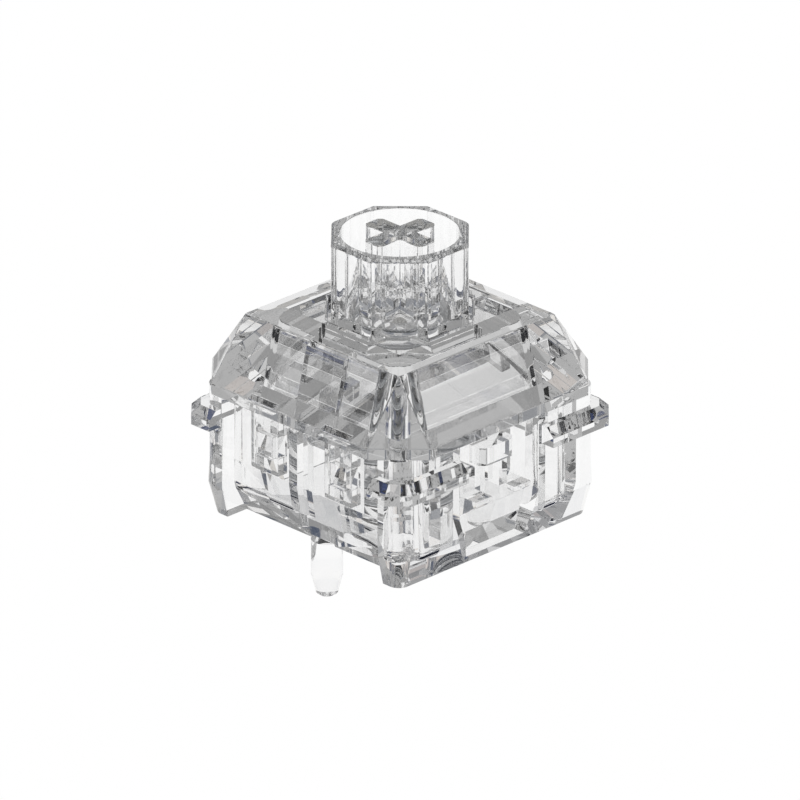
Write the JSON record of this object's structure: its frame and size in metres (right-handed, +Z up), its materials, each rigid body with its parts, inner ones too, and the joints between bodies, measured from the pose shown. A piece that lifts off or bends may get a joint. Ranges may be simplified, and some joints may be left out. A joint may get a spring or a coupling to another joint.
{
  "type": "mechanical keyboard switch",
  "caption": "Clear keyboard switch: faceted upper housing latched over a lugged lower housing, with a sprung stem that carries a cross socket and a magnet.",
  "frame": {"origin": "centre of the lower housing's face that seats on the circuit board, on the axis of the centre post", "axes": "+Z up along the stem's travel towards the key cap, X through the two locating pegs, Y through the two plate clips"},
  "size_m": [0.0156, 0.0156, 0.018],
  "materials": {
    "clear_housing": "clear polished moulding",
    "clear_stem": "clear polished moulding",
    "spring_steel": "bright drawn wire",
    "magnet": "bright nickel plate"
  },
  "bodies": {
    "housing": {"lower_housing": "clear_housing", "upper_housing": "clear_housing", "return_spring": "spring_steel"},
    "slider": {"key_stem": "clear_stem", "sensing_magnet": "magnet"}
  },
  "joints": [
    {"name": "stem_travel", "type": "slide", "parent": "housing", "child": "slider", "axis": [0, 0, -1], "range_m": [0, 0.004], "stiffness_N_per_m": 65, "springref_m": -0.0055, "deforming": ["return_spring"]}
  ]
}
